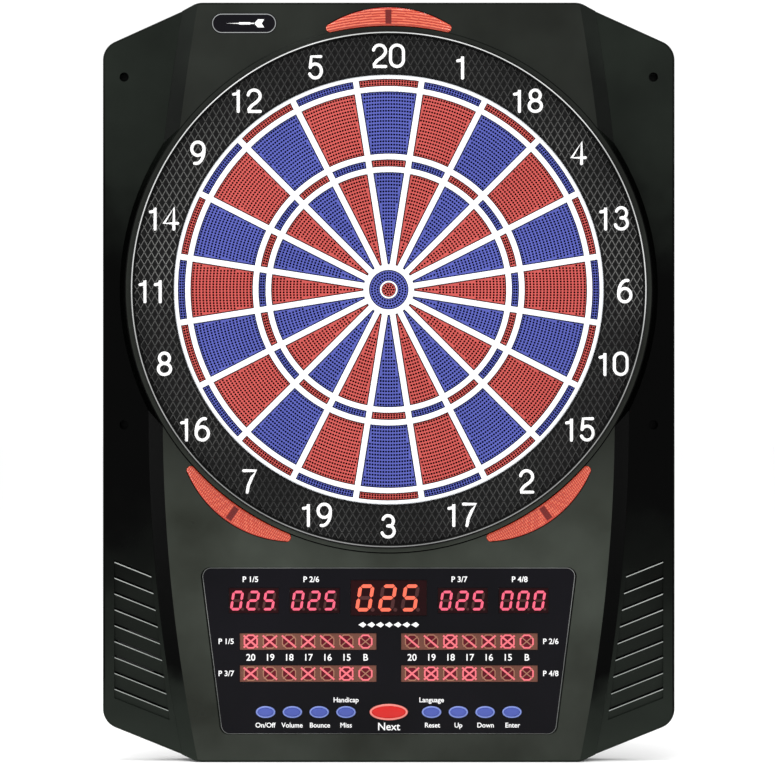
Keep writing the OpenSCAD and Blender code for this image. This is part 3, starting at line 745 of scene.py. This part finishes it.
def lens(name, node, angle, across):
    """Domed crescent with fine ribs: along its arc, or across it, and a dark bar in the middle."""
    shape = Shape()
    columns, rows = 300, 36
    turn = math.radians(angle)
    top = front_of(node)
    grid = []
    for i in range(columns + 1):
        u = math.sin(math.pi / 2 * (2 * i / columns - 1))
        a, low, high = lens_edge(u)
        a = a if u > 0 else -a
        column = []
        for j in range(rows + 1):
            v = j / rows
            r = low + (high - low) * (0.5 - 0.5 * math.cos(math.pi * v))
            edge = min(1.0, min(r - low, high - r, (1 - abs(u)) * 50) / 1.6)
            bulge = math.sin(edge * math.pi / 2)
            wave = rib_wave(a, r, across)
            d = top - 1.0 + 0.75 * bulge + 0.22 * wave * bulge
            column.append(len(shape.points))
            shape.points.append((r * math.cos(turn + a), r * math.sin(turn + a), d))
        grid.append(column)
    for i in range(columns):
        for j in range(rows):
            x, z, d = shape.points[grid[i][j]]
            r = math.hypot(x, z)
            a = math.atan2(z, x) - turn
            a = (a + math.pi) % (2 * math.pi) - math.pi
            depth = (r - LENS_IN) / (LENS_APEX - LENS_IN)
            ridge = rib_wave(a, r, across) > 0.1
            seam = across and math.cos(2 * math.pi * (r - LENS_IN) / SEAM_PITCH) < -0.75
            bar = abs(a * r) < 2.4 and 0.1 < depth < 0.86
            plain = j < 4 or j >= rows - 5 or seam
            tone = 2 if bar else (1 if ridge and not plain else 0)
            shape.face((grid[i][j], grid[i + 1][j], grid[i + 1][j + 1], grid[i][j + 1]), tone)
    rim = [column[0] for column in grid] + [column[-1] for column in reversed(grid)]
    back = back_of(node)
    skirt = []
    for v in rim:
        x, z, d = shape.points[v]
        skirt.append(len(shape.points))
        shape.points.append((x, z, back))
    shape.wall(rim, skirt)
    for i in range(columns):
        shape.face((skirt[i], skirt[-1 - i], skirt[-2 - i], skirt[i + 1]))
    shape.piece(name, "case", "lens_plastic", [LENS, LENS_RIB, LENS_DARK], (node,), smooth=50)


# ---- score panel ----


def score_outline(inset):
    """Score panel outline with round corners, drawn in by inset."""
    low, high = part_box("score_panel")
    r, taper, steps = 7.0, 16.5, 10
    top, foot, half = high.z / MM, low.z / MM, high.x / MM
    corners = [(half - taper, foot), (half, top), (-half, top), (taper - half, foot)]
    outline = []
    for i, (x, z) in enumerate(corners):
        before, after = Vector(corners[i - 1]), Vector(corners[(i + 1) % 4])
        a, b = (before - Vector((x, z))).normalized(), (after - Vector((x, z))).normalized()
        half_angle = a.angle(b) / 2
        centre = Vector((x, z)) + (a + b).normalized() * r / math.sin(half_angle)
        n0, n1 = Vector((-a.y, a.x)), Vector((b.y, -b.x))
        n0 = n0 if n0.dot(b) < 0 else -n0
        n1 = n1 if n1.dot(a) < 0 else -n1
        t0, t1 = math.atan2(n0.y, n0.x), math.atan2(n1.y, n1.x)
        if t1 - t0 > math.pi:
            t1 -= 2 * math.pi
        if t0 - t1 > math.pi:
            t1 += 2 * math.pi
        turns = [t0 + (t1 - t0) * k / steps for k in range(steps + 1)]
        outline += [(centre.x + (r - inset) * math.cos(t), centre.y + (r - inset) * math.sin(t))
                    for t in turns]
    return outline


def centre_and_size(node):
    """Centre (x, z), width and height of a CAD node seen from the front."""
    low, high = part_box(node)
    return ((low.x + high.x) / 2 / MM, (low.z + high.z) / 2 / MM,
            (high.x - low.x) / MM, (high.z - low.z) / MM)


def plate_hole(node):
    """Outline of the score plate's opening for a node, as a function of how far it grows."""
    x, z, w, h = centre_and_size(node)
    if node.startswith("button_"):
        return lambda grow: moved(oval(w - 1.5 + 2 * grow, h - 1.5 + 2 * grow), x, z)
    return lambda grow: [(x + a * (w / 2 + 0.25 + grow), z + b * (h / 2 + 0.25 + grow))
                         for a, b in ((1, 1), (-1, 1), (-1, -1), (1, -1))]


def score_plate():
    """Glossy plate with openings for the displays and the buttons, its bevelled edge painted light as a
    highlight.
    """
    front, back = PANEL_FACE, back_of("score_panel")
    bevel, flare = 0.55, 0.15
    shape = Shape()
    holes = [plate_hole(node) for node in NODES
             if node.startswith(("display_", "cricket_", "button_")) and node != "button_mat"]
    outer = [shape.loop(score_outline(inset), d)
             for inset, d in ((bevel, front), (0.0, front - 0.5), (0.0, back))]
    # the bevel takes tone 1, the painted highlight
    shape.wall(outer[0], outer[1], 1)
    shape.wall(outer[1], outer[2])
    triangles = fill(score_outline(bevel), [hole(flare) for hole in holes])
    face_in, face_out = list(outer[0]), list(outer[-1])
    for hole in holes:
        rings = [shape.loop(hole(grow), d)
                 for grow, d in ((flare, front), (0.0, front - flare), (0.0, back))]
        for a, b in zip(rings, rings[1:]):
            shape.wall(b, a)
        face_in += rings[0]
        face_out += rings[-1]
    for corners in triangles:
        shape.face([face_in[c] for c in corners])
        shape.face([face_out[c] for c in reversed(corners)])
    shape.piece("score_plate", "case", "panel_gloss", [PANEL, PANEL_HIGHLIGHT], ("score_panel",),
                smooth=30)


def bar_segment(x0, z0, x1, z1, w):
    """Six-cornered bar of a seven-segment digit between two points."""
    a, b = Vector((x0, z0)), Vector((x1, z1))
    t = (b - a).normalized()
    n = Vector((-t.y, t.x)) * w / 2
    a, b = a + t * w * 0.12, b - t * w * 0.12
    tip = t * w / 2
    return [tuple(p) for p in (a, a + tip - n, b - tip - n, b, b - tip + n, a + tip + n)]


SEGMENTS = {"0": "abcdef", "2": "abged", "5": "afgcd"}


def digit(shape, text, x, z, h, lit):
    """One italic seven-segment digit with its unlit bars and point."""
    w, thick, lean = h * 0.52, h * 0.15, math.tan(math.radians(9))
    left, right, top, low = -w / 2, w / 2, h / 2, -h / 2
    bars = {"a": (left, top, right, top), "b": (right, top, right, 0),
            "c": (right, 0, right, low), "d": (left, low, right, low),
            "e": (left, 0, left, low), "f": (left, top, left, 0), "g": (left, 0, right, 0)}
    for name, ends in bars.items():
        outline = [(x + a + b * lean, z + b) for a, b in bar_segment(*ends, thick)]
        tone = lit if name in SEGMENTS[text] else 0
        shape.stack([(outline, MARK_TOP), (outline, MARK_FOOT)], tone)
    dot = circle(thick * 0.55, 20, x + w / 2 + thick + low * lean, z + low)
    shape.stack([(dot, MARK_TOP), (dot, MARK_FOOT)])


def displays():
    """The digits of the four small displays and of the main one."""
    shape = Shape()
    for player, text in enumerate(("025", "025", "025", "000"), 1):
        x, z, _, _ = centre_and_size(f"display_p{player}")
        for i, glyph in enumerate(text):
            digit(shape, glyph, x + (i - 1) * 12.8 - 0.6, z, 13.659, 1)
    x, z, _, _ = centre_and_size("display_main")
    for i, glyph in enumerate("025"):
        digit(shape, glyph, x + (i - 1) * 18 - 1.0, z, 18.744, 2)
    shape.piece("score_digits", "case", "display_resin", [UNLIT, LIT, LIT_MAIN], smooth=20)


def cricket():
    """Seven marks on each cricket display: a ring and two crossed bars, some of them lit."""
    marks = {
        "cricket_p1": ["ox", "x", "\\", "x", "\\", "\\", "o"],
        "cricket_p2": ["x", "\\", "\\", "x", "\\", "ox", "o"],
        "cricket_p3": ["\\", "\\", "ox", "\\", "x", "ox", "o"],
        "cricket_p4": ["x", "ox", "x", "ox", "\\", "\\", "o"],
    }
    octagon_r, well_r = 6.1, 5.2
    shape = Shape()
    for node, row in marks.items():
        middle, z, _, _ = centre_and_size(node)
        for i, mark in enumerate(row):
            x = middle + (i - 3) * MARK_PITCH
            ring = 1 if "o" in mark else 0
            well = circle(well_r, 32, x, z)
            shape.stack([(well, DISPLAY_FACE + 0.06), (well, MARK_FOOT)], 2)
            inner = octagon_r - (1.35 if ring else 0.9)
            loops = [shape.loop(circle(r, 8, x, z, math.pi / 8), d) for r, d in (
                (octagon_r, MARK_TOP), (inner, MARK_TOP), (inner, MARK_FOOT),
                (octagon_r, MARK_FOOT))]
            for a, b in zip(loops, loops[1:] + loops[:1]):
                shape.wall(b, a, ring)
            for lean, lit in ((140, "\\" in mark or "x" in mark), (40, "x" in mark)):
                half, w = (7.4, 0.72) if lit else (6.2, 0.4)
                bar = turned([(-half, -w), (half, -w), (half, w), (-half, w)], math.radians(lean))
                bar = moved(bar, x, z)
                rise = 0.16 + (0.03 if lean == 140 else 0.0) + (0.02 if lit else 0.0)
                shape.stack([(bar, DISPLAY_FACE + rise), (bar, MARK_FOOT)], int(lit))
    shape.piece("cricket_marks", "case", "display_resin", [TAN, LIT_SYMBOL, WELL], smooth=20)


def words(entries, name, mat):
    """Raised generic words, joined into one piece. entries are (text, x, z, cap height)."""
    made = []
    for text, x, z, height in entries:
        curve = bpy.data.curves.new(name, "FONT")
        curve.body = text
        curve.size = height / 0.72 * MM
        curve.align_x = "CENTER"
        curve.align_y = "CENTER"
        curve.extrude = 0.04 * MM
        curve.offset = 0.09 * MM
        curve.resolution_u = 4
        obj = bpy.data.objects.new(name, curve)
        bpy.context.scene.collection.objects.link(obj)
        obj.matrix_world = (Matrix.Translation((x * MM, -(PANEL_FACE + 0.02) * MM, z * MM))
                            @ Matrix.Rotation(math.pi / 2, 4, "X"))
        made.append(obj)
    bpy.context.view_layer.update()
    depsgraph = bpy.context.evaluated_depsgraph_get()
    joined = bmesh.new()
    for obj in made:
        mesh = bpy.data.meshes.new_from_object(obj.evaluated_get(depsgraph))
        mesh.transform(obj.matrix_world)
        joined.from_mesh(mesh)
        bpy.data.meshes.remove(mesh)
    mesh = bpy.data.meshes.new(name)
    joined.to_mesh(mesh)
    joined.free()
    for obj in made:
        curve = obj.data
        bpy.data.objects.remove(obj)
        bpy.data.curves.remove(curve)
    mesh.materials.append(mat)
    piece = bpy.data.objects.new(name, mesh)
    bpy.context.scene.collection.objects.link(piece)
    soften(piece, 20)
    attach(piece, "case")
    return piece


def labels():
    """The words on the score panel: players, targets and what each button does."""
    entries = [(t, x, -230.5, 4.5) for t, x in (
        ("P 1/5", -110), ("P 2/6", -61.7), ("P 3/7", 56), ("P 4/8", 104))]
    for centre in (-64.1, 64.1):
        entries += [(t, centre + (i - 3) * MARK_PITCH, -292.6, 5.4)
                    for i, t in enumerate(("20", "19", "18", "17", "16", "15", "B"))]
    entries += [("P 1/5", -129.3, -279.8, 4.4), ("P 3/7", -129.3, -305.3, 4.4),
                ("P 2/6", 128.7, -279.8, 4.4), ("P 4/8", 128.7, -305.3, 4.4)]
    entries += [(t, x, -346.4, 3.9) for t, x in (
        ("On/Off", -98.2), ("Volume", -76.8), ("Bounce", -54.8), ("Miss", -34),
        ("Reset", 34.6), ("Up", 55.3), ("Down", 76.9), ("Enter", 98.4))]
    entries += [("Next", 0, -347.6, 6.2), ("Handicap", -34, -326.3, 3.9),
                ("Language", 34, -326.3, 3.9)]
    words(entries, "panel_words", LABEL)


def emblem():
    """A plain row of pointed shapes where a maker would print a name."""
    shape = Shape()
    for i in range(-3, 4):
        x, z = i * 7.0, -266.4
        dart = [(x - 3.2, z), (x + 0.6, z - 2.2), (x + 3.2, z), (x + 0.6, z + 2.2)]
        shape.stack([(dart, PANEL_FACE + 0.06), (dart, PANEL_FACE - 0.1)])
    shape.piece("panel_marks", "case", "web_plastic", [LABEL], smooth=20)


def button(node, w, h, rim, mats, slot):
    """A domed cap with a paler rim, over the flange that holds it."""
    shape = Shape()
    x, z, _, _ = centre_and_size(node)
    top = front_of(node)
    flange_top, flange_foot, flange = 27.4, 25.8, -1.1

    def ring(inset, d):
        return shape.loop(moved(oval(w - 2 * inset, h - 2 * inset), x, z), d)

    dome = [(rim + (h / 2 - rim) * f, top - 0.32 * (1 - f) ** 2)
            for f in (0.9, 0.7, 0.5, 0.3, 0.12)]
    dome += [(rim + 0.35, top - 0.5), (rim, top - 0.95)]
    loops = [ring(inset, d) for inset, d in dome]
    for a, b in zip(loops, loops[1:]):
        shape.wall(a, b)
    shape.face(loops[0])
    outer = [ring(inset, d) for inset, d in (
        (rim - 0.2, top - 0.75), (rim - 0.45, top - 0.55), (0.35, top - 0.6), (0.0, top - 1.0),
        (0.0, flange_top), (flange, flange_top), (flange, flange_foot), (0.0, flange_foot),
        (0.0, back_of(node)))]
    shape.wall(loops[-1], outer[0], 1)
    for a, b in zip(outer, outer[1:]):
        shape.wall(a, b, 1)
    shape.face(outer[-1][::-1], 1)
    shape.piece(node.replace("button", "key"), node, slot, mats, (node,), smooth=40)


def buttons():
    for node in ("on_off", "volume", "bounce", "miss", "reset", "up", "down", "enter"):
        button("button_" + node, 15.2, 9.3, 1.3, [BUTTON_BLUE, BUTTON_RIM], "button_blue")
    button("button_next", 30.2, 12.9, 1.7, [BUTTON_RED, RED_RIM], "button_red")


def badge():
    """Dark plate with a silver edge and a plain dart."""
    x, z, w, h = centre_and_size("badge")

    def stadium(inset):
        end = arc(w / 2 - h / 2, 0, h / 2 - inset, h / 2 - inset, -90, 90, 30)
        return moved(end + [(-a, -b) for a, b in end], x, z)

    top, back = front_of("badge"), back_of("badge")
    shape = Shape()
    loops = [shape.loop(stadium(inset), d) for inset, d in (
        (1.3, top - 0.2), (1.2, top - 0.05), (1.1, top), (0.5, top), (0.0, top - 0.25),
        (0.0, back))]
    for a, b in zip(loops, loops[1:]):
        shape.wall(a, b, int(a == loops[2]))
    shape.face(loops[0])
    shape.face(loops[-1][::-1])
    # point, barrel, shaft and flight
    parts = [
        [(x - 14, z), (x - 4, z - 0.35), (x - 4, z + 0.35)],
        [(x - 4, z - 0.9), (x + 5, z - 0.9), (x + 5, z + 0.9), (x - 4, z + 0.9)],
        [(x + 5, z - 0.45), (x + 9, z - 0.45), (x + 9, z + 0.45), (x + 5, z + 0.45)],
        [(x + 8, z), (x + 11, z - 3.2), (x + 16, z - 3.2), (x + 14, z), (x + 16, z + 3.2),
         (x + 11, z + 3.2)],
    ]
    for outline in parts:
        shape.stack([(outline, top - 0.02), (outline, top - 0.3)], 2)
    shape.piece("badge_plate", "case", "badge_metal", [PANEL, SILVER, LABEL], ("badge",), smooth=40)


# ---- CAD nodes that keep their shape ----


def case_tone(face):
    """Which case material a face takes: 0 panel, 1 wing (both with painted reflection), 2 slope or wall
    (painted shade), 3 louvre lip (painted highlight).
    """
    x, d, z = abs(face.center.x) / MM, -face.center.y / MM, face.center.z / MM
    if 21.4 < d < 21.9 and 172 < x < 218.7 and -342 < z < -209 and face.normal.y < -0.5:
        return 3
    if face.normal.y > -0.93:
        return 2
    return 0 if d > 29.2 else 1


def dress_frame():
    """Materials for the CAD nodes, with four materials on the front housing that paint in reflection,
    shade and highlight.
    """
    looks = {
        "front_housing": CASE, "rear_cover": COVER, "number_ring": RING, "segment_web": WHITE,
        "backing_board": FIBRE, "rubber_sheet": RUBBER, "sensor_membrane": FILM,
        "light_boards": CIRCUIT, "score_panel": PANEL, "main_board": CIRCUIT, "button_mat": RUBBER,
        "loudspeaker": RUBBER, "dc_jack": COVER, "badge": SILVER, "housing_screws": STEEL,
        "inner_screws": STEEL, "button_next": BUTTON_RED, "bull_outer": BLUE, "bull_inner": RED,
    }
    for name, obj in NODES.items():
        mat = looks.get(name)
        if name.startswith("display"):
            mat = FACE
        elif name.startswith("cricket"):
            mat = STRIP
        elif name.startswith("lens"):
            mat = LENS
        elif mat is None:
            mat = BUTTON_BLUE if name.startswith("button") else BLUE
        obj.data.materials.clear()
        obj.data.materials.append(mat)
        if name == "front_housing":
            for extra in (WING, SLOPE_SHADE, LOUVRE_HIGHLIGHT):
                obj.data.materials.append(extra)
            for face in obj.data.polygons:
                face.material_index = case_tone(face)


# ---- stage ----


def floor():
    """Wide pale floor under the foot of the case."""
    mesh = bpy.data.meshes.new("floor")
    outline = circle(14.0, 96)
    mesh.from_pydata([(x, y, FOOT * MM) for x, y in outline], [], [range(len(outline))])
    mesh.materials.append(material("floor_white", (0.95, 0.95, 0.95), (0.945, 0.945, 0.945),
                                   0.9, 0.85, 30, 0.0, Specular_IOR_Level=0.1))
    obj = bpy.data.objects.new("floor", mesh)
    bpy.context.scene.collection.objects.link(obj)


def lamp(name, place, aim, size, power):
    """Rectangular area light that faces a point, in metres and watts."""
    light = bpy.data.lights.new(name, "AREA")
    light.shape = "RECTANGLE"
    light.size, light.size_y = size
    light.energy = power
    obj = bpy.data.objects.new(name, light)
    obj.location = place
    obj.rotation_euler = (Vector(aim) - Vector(place)).to_track_quat("-Z", "Y").to_euler()
    bpy.context.scene.collection.objects.link(obj)


def studio():
    """A soft key light, three strips that rake the edges and an even white world."""
    lamp("key", (-0.9, -1.9, 1.7), (0, 0, -0.05), (1.6, 1.2), 9)
    lamp("top_strip", (-0.2, -0.35, 1.5), (0, -0.03, 0), (1.6, 0.16), 12)
    lamp("left_strip", (-1.6, -0.4, 0.3), (0, -0.03, -0.05), (0.16, 1.4), 12)
    lamp("right_strip", (1.6, -0.4, 0.2), (0, -0.03, -0.05), (0.16, 1.4), 7)
    world = bpy.data.worlds.new("studio")
    world.use_nodes = True
    world.node_tree.nodes["Background"].inputs["Color"].default_value = (1, 1, 1, 1)
    world.node_tree.nodes["Background"].inputs["Strength"].default_value = 1.06
    bpy.context.scene.world = world
    bpy.context.scene.view_settings.view_transform = "Standard"


def camera():
    """Straight ahead, as far off as a long lens would be."""
    view_width, distance, sensor = 0.616, 2.6, 36
    case_face = -0.03
    data = bpy.data.cameras.new("camera")
    data.sensor_width = sensor
    data.lens = sensor * distance / view_width
    obj = bpy.data.objects.new("camera", data)
    obj.location = (-0.001, case_face - distance, -0.0778)
    obj.rotation_euler = (math.pi / 2, 0, 0)
    bpy.context.scene.collection.objects.link(obj)
    bpy.context.scene.camera = obj


camera()
dress_frame()
sectors()
bulls()
web()
number_ring()
lens("lens_upper", "lens_top", 90, False)
lens("lens_lower_left", "lens_left", 235, True)
lens("lens_lower_right", "lens_right", 305, True)
score_plate()
displays()
cricket()
labels()
emblem()
buttons()
badge()
floor()
studio()
